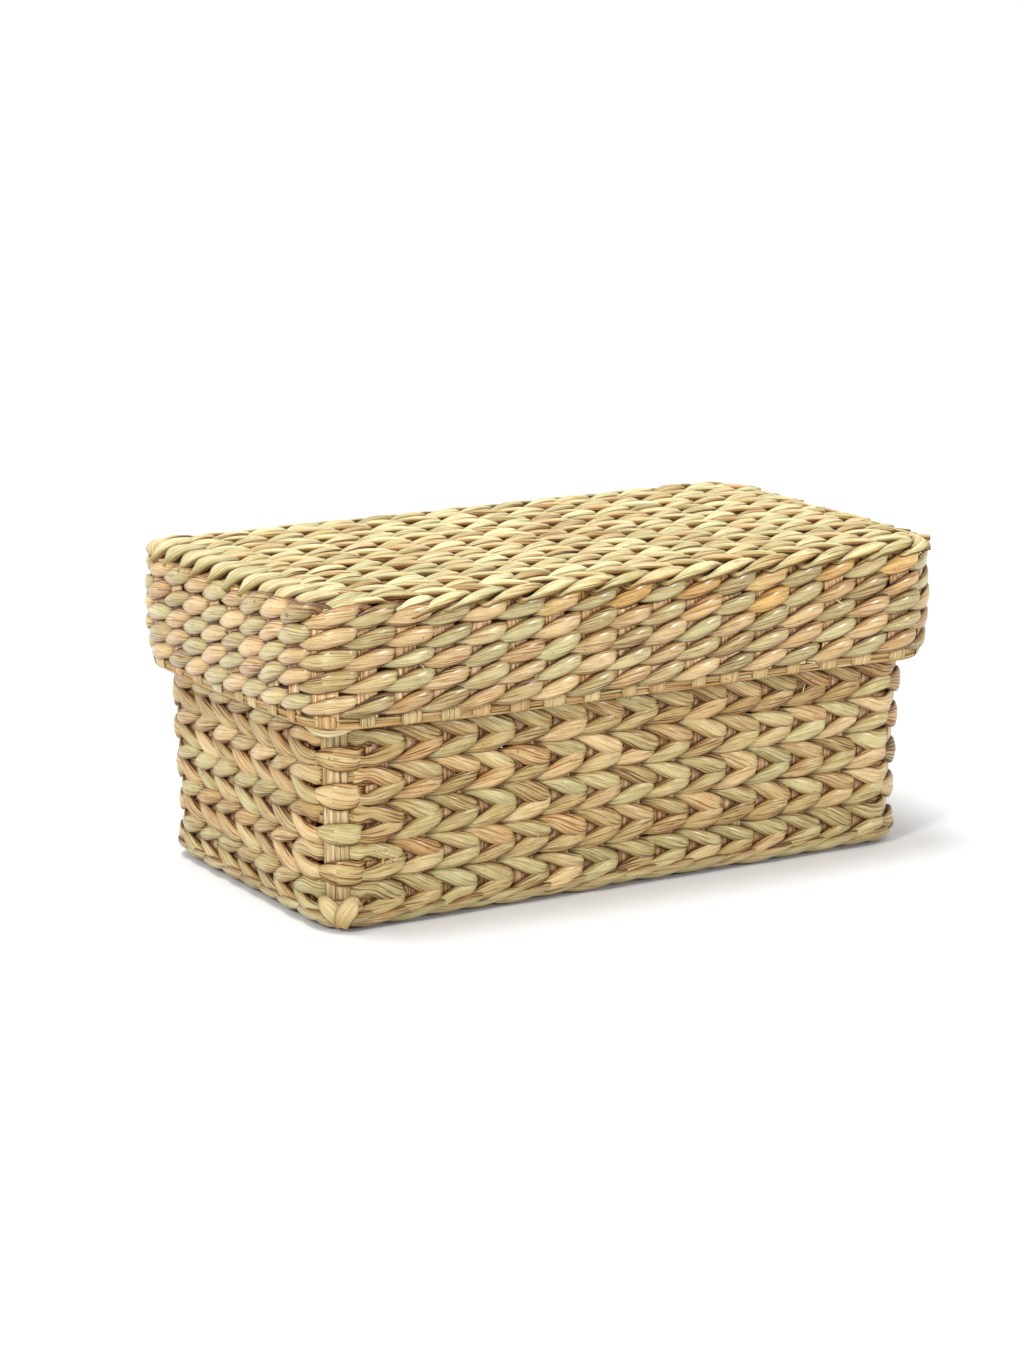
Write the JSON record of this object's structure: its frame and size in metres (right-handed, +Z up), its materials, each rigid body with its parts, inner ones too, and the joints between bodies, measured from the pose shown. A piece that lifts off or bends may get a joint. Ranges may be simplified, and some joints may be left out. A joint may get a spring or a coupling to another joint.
{
  "type": "woven lidded box",
  "caption": "Rectangular box twined from dried rush over flat stakes, its walls leaning out slightly, with a deep separate lid that lifts straight off.",
  "frame": {"origin": "middle of the footprint, on the surface that the box stands on", "axes": "+X along the length, -Y out of the long front side, +Z up and the way the lid lifts"},
  "size_m": [0.256, 0.145, 0.114],
  "materials": {
    "rush_strand": "satin dried rush, peach, straw and pale green strands by turns",
    "rush_stake": "flattened rush stakes, pinkish tan with lengthwise fibres",
    "rush_rim": "straw-coloured rush band under folded stake ends"
  },
  "bodies": {
    "body": {"body_base": "rush_stake", "body_corner_stake_1": "rush_stake", "body_corner_stake_2": "rush_stake", "body_corner_stake_3": "rush_stake", "body_corner_stake_4": "rush_stake", "body_edge_row": "rush_strand", "body_row_01": "rush_strand", "body_row_02": "rush_strand", "body_row_03": "rush_strand", "body_row_04": "rush_strand", "body_row_05": "rush_strand", "body_row_06": "rush_strand", "body_row_07": "rush_strand", "body_row_08": "rush_strand", "body_row_09": "rush_strand", "body_row_10": "rush_strand", "body_row_11": "rush_strand", "body_row_12": "rush_strand", "body_row_13": "rush_strand", "body_row_14": "rush_strand", "body_row_15": "rush_strand", "body_rim": "rush_rim"},
    "lid": {"lid_top": "rush_stake", "lid_edge_row": "rush_strand", "lid_row_1": "rush_strand", "lid_row_2": "rush_strand", "lid_row_3": "rush_strand", "lid_row_4": "rush_strand", "lid_row_5": "rush_strand", "lid_rim": "rush_rim"}
  },
  "joints": [
    {"name": "lid_lift", "type": "slide", "parent": "body", "child": "lid", "axis": [0, 0, 1], "range_m": [0, 0.12]}
  ]
}
